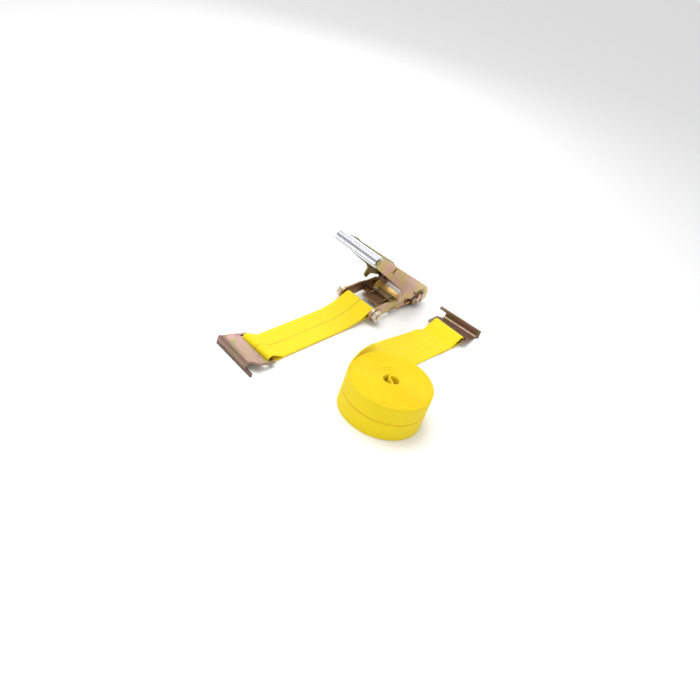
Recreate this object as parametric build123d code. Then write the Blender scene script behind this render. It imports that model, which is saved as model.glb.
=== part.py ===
"""Four-inch ratchet tie down: a ratchet buckle with a long wide handle on a short strap, a long strap wound in a
roll, and a flat hook on the end of each strap.

Frame: +Z up, the straps run along X, the ratchet's cross axes run along Y, and the part stands on z = 0 with its
origin at the middle of its footprint. Millimetres.
"""
from build123d import *
import os
from math import acos, atan2, cos, degrees, pi, radians, sin, sqrt, tan

# ---- webbing ----
WEB_WIDTH = 101.6            # four-inch webbing
WEB_THICK = 3.2              # one ply
SEWN_THICK = 2 * WEB_THICK   # two plies stitched together
FLOOR_GAP = 0.1              # what the webbing lies above the ground plane

# ---- layout, before everything is moved to the part's origin; the roll's centre is the start ----
STRAP_Y = 322.0              # middle plane of the short strap and the ratchet
TAIL_Y = 110.0               # middle plane of the long strap's flat end
HUB = Vector(470.0, STRAP_Y, 35.0)
BOLT = Vector(271.0, STRAP_Y, 27.0)
LEFT_BAR = Vector(-126.0, STRAP_Y, 14.2)
RIGHT_BAR = Vector(440.0, TAIL_Y, 14.2)
HOOK_YAW = 6.0               # each hook sits a little skewed in its loop

# ---- stack across the ratchet, as distances from its middle plane ----
FRAME_IN, FRAME_OUT = 53.5, 58.5
GEAR_IN, GEAR_OUT = 59.0, 65.0
CHEEK_IN, CHEEK_OUT = 65.5, 70.0
WASHER_OUT = 72.2
SPOOL_HALF_LENGTH = 78.0

# ---- spool and gears ----
SPOOL_R = 17.0
SPOOL_SLOT = 7.0
SHAFT_CLEAR = 0.05
TEETH = 12
TOOTH_TIP_R, TOOTH_ROOT_R = 32.0, 25.5
COTTER_R = 2.5
COTTER_Y = 75.0

# ---- frame, with e running from the hub to the bolt and v square to it ----
FRAME_ANGLE = degrees(atan2(BOLT.Z - HUB.Z, BOLT.X - HUB.X)) % 360
FRAME_LENGTH = sqrt((HUB.X - BOLT.X) ** 2 + (HUB.Z - BOLT.Z) ** 2)
PLATE_END_R = 21.0
PLATE_WAIST_E, PLATE_WAIST_LOW = 115.0, -17.4
HUB_TOP_R, HUB_FOOT_R = 31.0, 35.0
NECK_TOP = 4.0               # the dip that the drive pawl passes over
NECK_END = 52.5
BOLT_R, SLEEVE_R = 8.0, 10.0
BOLT_WASHER_R, BOLT_WASHER_THICK = 20.0, 3.5
NUT_R, NUT_THICK, BOLT_END = 17.5, 13.0, 79.0
WEB_LOW, WEB_HIGH = -15.0, -10.0     # cross plate
WEB_END, WEB_STEP, WEB_TONGUE = 140.0, 118.0, 34.0

# ---- handle, with u running from the hub to the grip and v square to it ----
HANDLE_ANGLE = 145.2         # from +X, at rest
HANDLE_LENGTH = 362.0
GRIP_HALF_WIDTH, GRIP_HALF_HEIGHT, GRIP_WALL = 15.5, 17.0, 2.5
GRIP_END, GRIP_CAP = 72.0, 1.8
GRIP_ROD_R = 7.0
CHEEK_TONGUE_R = 11.0        # each cheek's end goes inside the grip
CHEEK_SHOULDER = 344.0
SPACER_U, SPACER_V, SPACER_R = 236.0, 12.0, 6.0

# ---- pawls; travel is counted from the rest position, with the tips on the crests of the teeth ----
PAWL_THICK = 6.0
DRIVE_TIP = TOOTH_TIP_R + 0.3
LOCK_V = -11.3               # middle of the lock pawl, below the line from hub to bolt
LOCK_THICK = 5.0
LOCK_TIP = 31.1
PAWL_IN = 5.0                # towards the gear
PAWL_OUT = 2.5               # away from it
GUIDE_R = 3.0
GUIDE_Y = 24.0
DRIVE_GUIDE_V, LOCK_GUIDE_V = 6.0, -6.5
SPRING_R = 5.0
SPRING_WIRE = 1.4
DRIVE_FLANGE_U, DRIVE_SEAT_U = 96.0, 130.0
LOCK_FLANGE_E, LOCK_SEAT_E = 72.0, 96.0

# ---- flat hooks ----
HOOK_THICK = 6.0
BAR_HALF = 6.5
HOOK_SLOT_END = 24.5
HOOK_SLOT_HALF = 56.0
HOOK_BEND_START = 66.0
HOOK_BEND_IN = 8.0
HOOK_BEND_ANGLE = 100.0
HOOK_LIP = 14.0
HOOK_HALF_BASE, HOOK_HALF_BODY, HOOK_HALF_LIP = 64.0, 65.0, 72.5
HOOK_NOTCH_R = 9.0           # at one end of the lip
HOOK_CUT = Vector(72.0, 66.5, 0)     # deep cut at the lip's other end, which leaves a spur of the lip
HOOK_CUT_R, HOOK_CUT_LOW, HOOK_CUT_TOP = 18.0, -5.0, 18.0
LEFT_TILT, RIGHT_TILT = 9.5, -9.55

# ---- strap loops ----
BAR_LOOP_IN, BAR_LOOP_OUT = 10.8, 14.0
BAR_LOOP_SHIFT = 3.5         # the loop is drawn towards the hook, to leave the skewed bar room
BOLT_LOOP_IN, BOLT_LOOP_OUT = 10.4, 13.6
BAR_LOOP_LENGTH = 47.0
BOLT_LOOP_LENGTH = 48.0
RISE_R = 200.0               # the short strap bends up to the bolt on this radius
RISE_ANGLE = 14.0

# ---- roll and tail ----
ROLL_R, ROLL_HOLE_R = 107.0, 19.0
# the last turn's middle, from where it leaves the roll: (direction from the roll's centre, distance)
TAIL_TURN = ((205, 109.6), (180, 109.8), (150, 110.2), (130, 110.6), (112, 111.6), (100, 112.8))
# then (x, y) as it runs on, and (x, turn from upright) as it falls flat
TAIL_RUN = ((-19.6, 111.1), (16, 110.8), (60, 113.1), (105, 109.8), (160, 112.9), (246, 110.6), (350, 110))
TAIL_TWIST = ((0, 0), (20, 3.9), (45, 9.5), (70, 23.1), (100, 43.6), (140, 61.3), (190, 67.9), (246, 74),
              (300, 80), (350, 90))
SEWN_START = 350.0


# ---------------------------------------------------------------- placing helpers
def across(face, y_in, y_out):
    """Solid of an XZ-plane outline between two distances across the ratchet (drawn in local X, Y)."""
    return Pos(0, y_out, 0) * (Rot(90, 0, 0) * extrude(face, amount=y_out - y_in))


def mirrored(shape):
    """The same shape on the far side of the middle plane."""
    return mirror(shape, Plane.XZ)


def on_frame(shape):
    """From frame axes (X along e, Z along v) to the ratchet's place."""
    return Pos(*HUB) * Rot(0, 180 - FRAME_ANGLE, 0) * mirror(shape, Plane.YZ)


def on_handle(shape):
    """From handle axes (X along u, Z along v) to the ratchet's place."""
    return Pos(*HUB) * Rot(0, 180 - HANDLE_ANGLE, 0) * mirror(shape, Plane.YZ)


def rod(radius, y_start, y_end, x=0.0, z=0.0):
    """A round bar along Y."""
    return Pos(x, (y_start + y_end) / 2, z) * (Rot(90, 0, 0) * Cylinder(radius, y_end - y_start))


def rod_along(radius, x_start, x_end, y, z):
    """A round bar along X."""
    return Pos((x_start + x_end) / 2, y, z) * (Rot(0, 90, 0) * Cylinder(radius, x_end - x_start))


def slab(x_start, x_end, y_start, y_end, z_start, z_end):
    """A box between two corners."""
    centre = Pos((x_start + x_end) / 2, (y_start + y_end) / 2, (z_start + z_end) / 2)
    return centre * Box(x_end - x_start, y_end - y_start, z_end - z_start)


def polygon(points):
    """A flat outline in local X, Y."""
    return make_face(Polyline(*points, close=True))


def rounded(face, radius, keep=()):
    """The outline with its corners rounded, apart from those listed in keep."""
    corners = [v for v in face.vertices() if all((Vector(v) - Vector(*k, 0)).length > 0.01 for k in keep)]
    return fillet(corners, radius)


# ---------------------------------------------------------------- frame
def frame_plate():
    """One side plate of the frame, on the +Y side."""
    end = FRAME_LENGTH
    bar = polygon([
        (0, -HUB_FOOT_R), (40, -32), (PLATE_WAIST_E, PLATE_WAIST_LOW), (end - 6, -PLATE_END_R + 0.9),
        (end, 0), (end - 5, PLATE_END_R - 0.6), (143, 19.8), (105, 12.8), (NECK_END + 4, 10),
        (NECK_END, NECK_TOP), (0, NECK_TOP),
    ])
    foot = Circle(HUB_FOOT_R) & Pos(0, -HUB_FOOT_R / 2) * Rectangle(2 * HUB_FOOT_R, HUB_FOOT_R)
    face = bar + Pos(end, 0) * Circle(PLATE_END_R) + Circle(HUB_TOP_R) + foot
    face -= Circle(SPOOL_R + SHAFT_CLEAR)
    face -= Pos(end, 0) * Circle(BOLT_R + SHAFT_CLEAR)
    slot_start, slot_end = 38 - PAWL_IN - 0.5, 49 + PAWL_OUT + 0.5
    slot = Rectangle(slot_end - slot_start, LOCK_THICK + 0.6)
    face -= Pos((slot_start + slot_end) / 2, LOCK_V) * slot
    return across(face, FRAME_IN, FRAME_OUT)


def frame_cross_plate():
    """Plate between the side plates, with the upright seat for the lock pawl's springs."""
    web = slab(LOCK_SEAT_E, WEB_STEP, -FRAME_IN, FRAME_IN, WEB_LOW, WEB_HIGH)
    tongue = slab(WEB_STEP - 1, WEB_END, -WEB_TONGUE, WEB_TONGUE, WEB_LOW, WEB_HIGH)
    seat = slab(LOCK_SEAT_E, LOCK_SEAT_E + 4, -FRAME_IN + 6, FRAME_IN - 6, WEB_LOW, -1)
    body = web + tongue + seat
    for side in (-1, 1):
        body -= rod_along(GUIDE_R + SHAFT_CLEAR, LOCK_SEAT_E - 1, LOCK_SEAT_E + 5, side * GUIDE_Y, LOCK_GUIDE_V)
        body -= Pos(126, side * GUIDE_Y, (WEB_LOW + WEB_HIGH) / 2) * Cylinder(4.5, 8)
    return body


def cross_plate_rivets():
    """Heads of the cross plate's riveted tabs, on the side plates' outer faces."""
    heads = []
    for e in (99, 112):
        for side in (-1, 1):
            y_mid = side * (FRAME_OUT + 0.9)
            heads.append(rod(3.6, y_mid - 0.9, y_mid + 0.9, e, (WEB_LOW + WEB_HIGH) / 2))
    return heads


def strap_bolt():
    """Hexagon-headed bolt through the frame's far end."""
    head_start = FRAME_OUT + BOLT_WASHER_THICK
    shank = rod(BOLT_R, -BOLT_END, head_start, FRAME_LENGTH, 0)
    head = across(RegularPolygon(NUT_R, 6), head_start, head_start + NUT_THICK)
    return shank + Pos(FRAME_LENGTH, 0, 0) * head


def strap_nut():
    """Nut on the bolt's near end."""
    start = -FRAME_OUT - BOLT_WASHER_THICK
    nut = Pos(FRAME_LENGTH, 0, 0) * across(RegularPolygon(NUT_R, 6), start - NUT_THICK, start)
    return nut - rod(BOLT_R, start - NUT_THICK - 1, start + 1, FRAME_LENGTH, 0)


def ring(radius_out, radius_in, y_start, y_end, x=0.0, z=0.0):
    """A washer or sleeve along Y."""
    return rod(radius_out, y_start, y_end, x, z) - rod(radius_in, y_start - 1, y_end + 1, x, z)


# ---------------------------------------------------------------- spool
def spool_section(side):
    """Half-moon outline of one spool half; side is -1 or 1."""
    keep = Pos(side * (SPOOL_SLOT / 2 + SPOOL_R), 0) * Rectangle(2 * SPOOL_R, 3 * SPOOL_R)
    return Circle(SPOOL_R) & keep


def spool_half(side):
    """One half of the split shaft, drilled for both cotter pins."""
    half = across(spool_section(side), -SPOOL_HALF_LENGTH, SPOOL_HALF_LENGTH)
    for y in (-COTTER_Y, COTTER_Y):
        half -= Pos(0, y, 0) * (Rot(0, 90, 0) * Cylinder(COTTER_R, 60))
    return Pos(*HUB) * half


def gear():
    """Toothed ratchet wheel on the +Y side, with a half-moon hole for each spool half."""
    pitch = 360 / TEETH
    face = Circle(TOOTH_TIP_R)
    steep_tip, steep_root, slope_root, slope_tip = -8.8, -7.8, 7.8, 14.5
    for k in range(TEETH):
        middle = HANDLE_ANGLE + k * pitch
        corners = []
        for radius, offset in ((TOOTH_TIP_R + 3, steep_tip), (TOOTH_ROOT_R, steep_root),
                               (TOOTH_ROOT_R, slope_root), (TOOTH_TIP_R + 3, slope_tip + 3)):
            angle = radians(middle + offset)
            corners.append((radius * cos(angle), radius * sin(angle)))
        face -= polygon(corners)
    for side in (-1, 1):
        face -= spool_section(side)
    return across(face, GEAR_IN, GEAR_OUT)


def cotter_pin(y):
    """Split pin through both spool halves, with its legs bent over."""
    length = 2 * SPOOL_R + 12
    pin = Pos(0, y, 0) * (Rot(0, 90, 0) * Cylinder(COTTER_R, length))
    eye = Pos(-length / 2 - 2.5, y, 0) * (Rot(90, 0, 0) * Torus(4.2, 1.6))
    return Pos(*HUB) * (pin + eye)


# ---------------------------------------------------------------- handle
def handle_cheek():
    """One side plate of the handle, on the +Y side."""
    outline = polygon([
        (-14, -22), (28, -17), (80, -30), (88, -49), (108, -45), (112, -24), (132, -16),
        (CHEEK_SHOULDER, -14.5), (CHEEK_SHOULDER, 15.5), (272, 26), (252, 24), (116, 32),
        (-6, 40), (-32, 30), (-48, 12), (-36, -8),
    ])
    face = rounded(outline, 4.0)
    face += Circle(28.0)
    length = HANDLE_LENGTH - CHEEK_SHOULDER + 4
    face += Pos(HANDLE_LENGTH - length / 2, 0) * Rectangle(length, 2 * CHEEK_TONGUE_R)
    face += Pos(HANDLE_LENGTH, 0) * Circle(CHEEK_TONGUE_R)
    face -= Circle(SPOOL_R + SHAFT_CLEAR)
    slot_start, slot_end = 42 - PAWL_IN - 0.9, 50 + PAWL_OUT + 0.5
    face -= Pos((slot_start + slot_end) / 2, 0) * Rectangle(slot_end - slot_start, PAWL_THICK + 0.6)
    face -= Pos(HANDLE_LENGTH, 0) * Circle(GRIP_ROD_R)
    face -= Pos(SPACER_U, SPACER_V) * Circle(SPACER_R)
    return across(face, CHEEK_IN, CHEEK_OUT)


def headed_rod(radius, head_r, x, z, reach):
    """Cross rod with a riveted head at each end; reach is where the heads start."""
    body = rod(radius, -reach - 1, reach + 1, x, z)
    for side in (-1, 1):
        low, high = sorted((side * reach, side * (reach + 2.5)))
        body += rod(head_r, low, high, x, z)
    return body


def handle_grip():
    """Fluted tube with closed ends; the cheeks' ends enter it through slots on the hub's side."""
    face = Ellipse(GRIP_HALF_WIDTH, GRIP_HALF_HEIGHT)
    flutes = 8
    for k in range(flutes):
        angle = 2 * pi * (k + 0.5) / flutes
        place = Pos((GRIP_HALF_WIDTH + 1.2) * cos(angle), (GRIP_HALF_HEIGHT + 1.2) * sin(angle))
        face -= place * Circle(2.8)
    tube = across(face, -GRIP_END, GRIP_END)
    hollow = Ellipse(GRIP_HALF_WIDTH - GRIP_WALL - 1.5, GRIP_HALF_HEIGHT - GRIP_WALL - 1.5)
    tube -= across(hollow, -GRIP_END + GRIP_CAP, GRIP_END - GRIP_CAP)
    tube -= rod(GRIP_ROD_R, -GRIP_END - 1, GRIP_END + 1)
    room = CHEEK_TONGUE_R + 0.1
    for side in (-1, 1):
        low, high = sorted((side * (CHEEK_IN - 0.2), side * (CHEEK_OUT + 0.1)))
        tube -= slab(-GRIP_HALF_WIDTH - 5, 0, low, high, -room, room)
        tube -= rod(room, low, high)
    return Pos(HANDLE_LENGTH, 0, 0) * tube


def handle_spring_seat():
    """Cross plate of the handle that the drive pawl's springs push against."""
    seat = slab(DRIVE_SEAT_U, DRIVE_SEAT_U + 4, -CHEEK_IN, CHEEK_IN, -3, 16)
    for side in (-1, 1):
        seat -= rod_along(GUIDE_R + SHAFT_CLEAR, DRIVE_SEAT_U - 1, DRIVE_SEAT_U + 5, side * GUIDE_Y, DRIVE_GUIDE_V)
    return seat


def drive_pawl():
    """Sliding plate of the handle: ears reach the gears and run in the cheeks' slots; the flange is pulled."""
    half = PAWL_THICK / 2
    body = slab(42, DRIVE_FLANGE_U, -52, 52, -half, half)
    for side in (-1, 1):
        arm = sorted((side * 50, side * (CHEEK_OUT - 0.4)))
        ear = sorted((side * (GEAR_IN + 0.2), side * GEAR_OUT))
        body += slab(42, 50, *arm, -half, half)
        body += slab(DRIVE_TIP, 50, *ear, -half, half)
    body += slab(DRIVE_FLANGE_U - 4, DRIVE_FLANGE_U, -38, 38, -half, 16)
    window = slab(60, 80, -22, 22, -10, 10)
    return body - window


def lock_pawl():
    """Sliding plate of the frame: ears pass through the side plates to the gears."""
    low, high = LOCK_V - LOCK_THICK / 2, LOCK_V + LOCK_THICK / 2
    body = slab(36, LOCK_FLANGE_E, -52.6, 52.6, low, high)
    for side in (-1, 1):
        arm = sorted((side * 50, side * GEAR_OUT))
        ear = sorted((side * (GEAR_IN + 0.2), side * GEAR_OUT))
        body += slab(38, 49, *arm, low, high)
        body += slab(LOCK_TIP, 49, *ear, low, high)
    flange = polygon([
        (LOCK_FLANGE_E - 4, low), (LOCK_FLANGE_E, low), (LOCK_FLANGE_E, -1.5),
        (LOCK_FLANGE_E - 17, 5), (LOCK_FLANGE_E - 18.5, 2), (LOCK_FLANGE_E - 4, -4),
    ])
    return body + across(flange, -46, 46)


def guide_rods(x_start, x_end, z):
    """The two rods that carry a pawl's springs."""
    return [rod_along(GUIDE_R, x_start, x_end, side * GUIDE_Y, z) for side in (-1, 1)]


def springs(x_start, x_end, z):
    """The two compression springs round a pawl's guide rods, as plain sleeves of the coil's size."""
    pair = []
    for side in (-1, 1):
        sleeve = rod_along(SPRING_R, x_start + 0.3, x_end - 0.3, side * GUIDE_Y, z)
        pair.append(sleeve - rod_along(SPRING_R - SPRING_WIRE, x_start, x_end, side * GUIDE_Y, z))
    return pair


# ---------------------------------------------------------------- hooks
def flat_hook(cut_side):
    """Flat hook along +X with its lip up, its slot bar on the Y axis and its deep cut on one side (1 or -1)."""
    top, low = HOOK_THICK / 2, -HOOK_THICK / 2
    centre_z = top + HOOK_BEND_IN
    plate = polygon([
        (-BAR_HALF, -HOOK_HALF_BASE), (HOOK_BEND_START, -HOOK_HALF_BODY),
        (HOOK_BEND_START, HOOK_HALF_BODY), (-BAR_HALF, HOOK_HALF_BASE),
    ])
    plate = rounded(plate, 4.0, keep=[(HOOK_BEND_START, -HOOK_HALF_BODY), (HOOK_BEND_START, HOOK_HALF_BODY)])
    plate -= Pos((BAR_HALF + HOOK_SLOT_END) / 2, 0) * RectangleRounded(
        HOOK_SLOT_END - BAR_HALF, 2 * HOOK_SLOT_HALF, 5)
    body = Pos(0, 0, low) * extrude(plate, amount=HOOK_THICK)
    bar_edges = [e for e in body.edges().filter_by(Axis.Y) if abs((e @ 0.5).X + BAR_HALF) < 0.01]
    body = fillet(bar_edges, 1.6)

    # the bend and the lip, as one strip drawn in the XZ plane
    r_in, r_out = HOOK_BEND_IN, HOOK_BEND_IN + HOOK_THICK

    def turned(radius, angle):
        """A point of the bend at this angle from its start."""
        a = radians(angle - 90)
        return (HOOK_BEND_START + radius * cos(a), centre_z + radius * sin(a))

    end = radians(HOOK_BEND_ANGLE)
    reach = (HOOK_LIP * cos(end), HOOK_LIP * sin(end))
    outer_end, inner_end = turned(r_out, HOOK_BEND_ANGLE), turned(r_in, HOOK_BEND_ANGLE)
    outer_tip = (outer_end[0] + reach[0], outer_end[1] + reach[1])
    inner_tip = (inner_end[0] + reach[0], inner_end[1] + reach[1])
    edges = [
        Line((HOOK_BEND_START, top), (HOOK_BEND_START, low)),
        ThreePointArc((HOOK_BEND_START, low), turned(r_out, HOOK_BEND_ANGLE / 2), outer_end),
        Line(outer_end, outer_tip),
        Line(outer_tip, inner_tip),
        Line(inner_tip, inner_end),
        ThreePointArc(inner_end, turned(r_in, HOOK_BEND_ANGLE / 2), (HOOK_BEND_START, top)),
    ]
    strip = across(make_face(edges), -HOOK_HALF_LIP, HOOK_HALF_LIP)
    notch = Pos(HOOK_BEND_START + 2, -cut_side * HOOK_HALF_LIP, 0) * Cylinder(HOOK_NOTCH_R, 24)
    step = slab(HOOK_BEND_START - 1, HOOK_BEND_START + 2, *sorted((-cut_side * 63.5, -cut_side * 80)), -5, 20)
    cut_middle = (HOOK_CUT_LOW + HOOK_CUT_TOP) / 2
    cut = Pos(HOOK_CUT.X, cut_side * HOOK_CUT.Y, cut_middle) * Cylinder(HOOK_CUT_R, HOOK_CUT_TOP - HOOK_CUT_LOW)
    strip -= notch + step + cut
    body -= notch + cut
    return body + strip


def placed_hook(bar, direction, tilt, flipped):
    """The hook at its slot bar: direction is its heading about Z, tilt lifts its lip end."""
    hook = flat_hook(-1 if flipped else 1)
    if flipped:
        hook = Rot(180, 0, 0) * hook
    return Pos(*bar) * Rot(0, 0, direction) * Rot(0, -tilt, 0) * hook


# ---------------------------------------------------------------- webbing
def tangent_points(centre, radius, apex):
    """Where the two tangents from a point touch a circle."""
    dx, dz = apex[0] - centre[0], apex[1] - centre[1]
    reach = sqrt(dx * dx + dz * dz)
    heading, spread = atan2(dz, dx), acos(radius / reach)
    return [(centre[0] + radius * cos(heading + s * spread), centre[1] + radius * sin(heading + s * spread))
            for s in (1, -1)]


def teardrop(centre, radius, apex):
    """Circle drawn out to a point."""
    first, second = tangent_points(centre, radius, apex)
    away = atan2(centre[1] - apex[1], centre[0] - apex[0])
    back = (centre[0] + radius * cos(away), centre[1] + radius * sin(away))
    return make_face([Line(apex, first), ThreePointArc(first, back, second), Line(second, apex)])


def web_loop(centre, r_in, r_out, root, heading):
    """Open loop of one ply whose two ends meet at root and run on along heading (degrees)."""
    along = radians(heading)
    nx, nz = -sin(along) * WEB_THICK, cos(along) * WEB_THICK
    upper, lower = (root[0] + nx, root[1] + nz), (root[0] - nx, root[1] - nz)
    outer = teardrop(centre, r_out, upper) + teardrop(centre, r_out, lower) + polygon([upper, lower, centre])
    return outer - teardrop(centre, r_in, root)


def rise_start():
    """Where the short strap starts to bend up, so that it ends pointing at the bolt."""
    middle = FLOOR_GAP + WEB_THICK
    rise_end_z = middle + RISE_R * (1 - cos(radians(RISE_ANGLE)))
    run = (BOLT.Z - rise_end_z) / tan(radians(RISE_ANGLE))
    return BOLT.X - run - RISE_R * sin(radians(RISE_ANGLE))


def short_strap():
    """Short strap: a loop on the hook's bar, a sewn double stretch, and a loop round the bolt sleeve."""
    middle = FLOOR_GAP + WEB_THICK
    left_root = (LEFT_BAR.X + BAR_LOOP_LENGTH - BAR_LOOP_SHIFT, middle)
    slope = radians(RISE_ANGLE)
    bolt_root = (BOLT.X - BOLT_LOOP_LENGTH * cos(slope), BOLT.Z - BOLT_LOOP_LENGTH * sin(slope))
    start, end = left_root[0], rise_start()
    bend = (end + RISE_R * sin(slope), middle + RISE_R * (1 - cos(slope)))
    nx, nz = -sin(slope) * WEB_THICK, cos(slope) * WEB_THICK
    half_turn = slope / 2

    def on_bend(radius, angle):
        """A point of the rising bend."""
        return (end + radius * sin(angle), middle + RISE_R - radius * cos(angle))

    edges = [
        Line((start, middle - WEB_THICK), (end, middle - WEB_THICK)),
        ThreePointArc((end, middle - WEB_THICK), on_bend(RISE_R + WEB_THICK, half_turn),
                      (bend[0] - nx, bend[1] - nz)),
        Line((bend[0] - nx, bend[1] - nz), (bolt_root[0] - nx, bolt_root[1] - nz)),
        Line((bolt_root[0] - nx, bolt_root[1] - nz), (bolt_root[0] + nx, bolt_root[1] + nz)),
        Line((bolt_root[0] + nx, bolt_root[1] + nz), (bend[0] + nx, bend[1] + nz)),
        ThreePointArc((bend[0] + nx, bend[1] + nz), on_bend(RISE_R - WEB_THICK, half_turn),
                      (end, middle + WEB_THICK)),
        Line((end, middle + WEB_THICK), (start, middle + WEB_THICK)),
        Line((start, middle + WEB_THICK), (start, middle - WEB_THICK)),
    ]
    bar_centre = (LEFT_BAR.X - BAR_LOOP_SHIFT, BAR_LOOP_OUT + FLOOR_GAP)
    face = make_face(edges)
    face += web_loop(bar_centre, BAR_LOOP_IN, BAR_LOOP_OUT, left_root, 0)
    face += web_loop((BOLT.X, BOLT.Z), BOLT_LOOP_IN, BOLT_LOOP_OUT, bolt_root, RISE_ANGLE)
    return Pos(0, STRAP_Y, 0) * across(face, -WEB_WIDTH / 2, WEB_WIDTH / 2)


def long_strap_sewn_end():
    """Flat sewn end of the long strap, with its loop on the other hook's bar."""
    middle = FLOOR_GAP + WEB_THICK
    root = (RIGHT_BAR.X - BAR_LOOP_LENGTH + BAR_LOOP_SHIFT, middle)
    band = polygon([(SEWN_START, FLOOR_GAP), (root[0], FLOOR_GAP),
                    (root[0], FLOOR_GAP + SEWN_THICK), (SEWN_START, FLOOR_GAP + SEWN_THICK)])
    bar_centre = (RIGHT_BAR.X + BAR_LOOP_SHIFT, BAR_LOOP_OUT + FLOOR_GAP)
    face = band + web_loop(bar_centre, BAR_LOOP_IN, BAR_LOOP_OUT, root, 0)
    return Pos(0, TAIL_Y, 0) * across(face, -WEB_WIDTH / 2, WEB_WIDTH / 2)


def between(points, at):
    """Smooth curve through (place, value) points, read at one place; places may rise or fall."""
    if points[0][0] > points[-1][0]:
        points = tuple(reversed(points))
    if at <= points[0][0]:
        return points[0][1]
    if at >= points[-1][0]:
        return points[-1][1]

    def slope(k):
        """Slope through a point's neighbours."""
        a, b = points[max(k - 1, 0)], points[min(k + 1, len(points) - 1)]
        return (b[1] - a[1]) / (b[0] - a[0])

    k = max(i for i, point in enumerate(points) if point[0] <= at)
    (x0, y0), (x1, y1) = points[k], points[k + 1]
    step, t = x1 - x0, (at - x0) / (x1 - x0)
    rise = (2 * t ** 3 - 3 * t ** 2 + 1) * y0 + (3 * t ** 2 - 2 * t ** 3) * y1
    return rise + step * ((t ** 3 - 2 * t ** 2 + t) * slope(k) + (t ** 3 - t ** 2) * slope(k + 1))


def tail_stations():
    """Middle line of the single-ply tail: (x, y, heading, twist) from the roll to the sewn end, in degrees."""
    turns, runs = 14, 24
    start, end = TAIL_TURN[0][0], TAIL_TURN[-1][0]
    line = []
    for k in range(turns + 1):
        angle = start + (end - start) * k / turns
        radius = between(TAIL_TURN, angle)
        line.append((radius * cos(radians(angle)), radius * sin(radians(angle))))
    first = TAIL_RUN[0][0]
    for k in range(1, runs + 1):
        x = first + (SEWN_START - first) * k / runs
        line.append((x, between(TAIL_RUN, x)))
    out = []
    for k, (x, y) in enumerate(line):
        before, after = line[max(k - 1, 0)], line[min(k + 1, len(line) - 1)]
        heading = 0.0 if k == len(line) - 1 else degrees(atan2(after[1] - before[1], after[0] - before[0]))
        out.append((x, y, heading, between(TAIL_TWIST, x)))
    return out


def long_strap_tail():
    """Single ply that leaves the roll on edge and turns over to lie flat."""
    sections = []
    for x, y, heading, twist in tail_stations():
        half = WEB_WIDTH / 2
        z = half * cos(radians(twist)) + WEB_THICK / 2 * sin(radians(twist)) + FLOOR_GAP
        forward = Vector(cos(radians(heading)), sin(radians(heading)), 0)
        side = Vector(-forward.Y, forward.X, 0)
        width_way = Vector(0, 0, 1) * cos(radians(twist)) + side * sin(radians(twist))
        plane = Plane(origin=(x, y, z), x_dir=width_way, z_dir=forward)
        sections.append(plane * Rectangle(WEB_WIDTH, WEB_THICK))
    return loft(sections, ruled=True)


def long_strap_roll():
    """The wound length, standing on its edge."""
    return Pos(0, 0, FLOOR_GAP + WEB_WIDTH / 2) * (
        Cylinder(ROLL_R, WEB_WIDTH) - Cylinder(ROLL_HOLE_R, WEB_WIDTH + 2))


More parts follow.
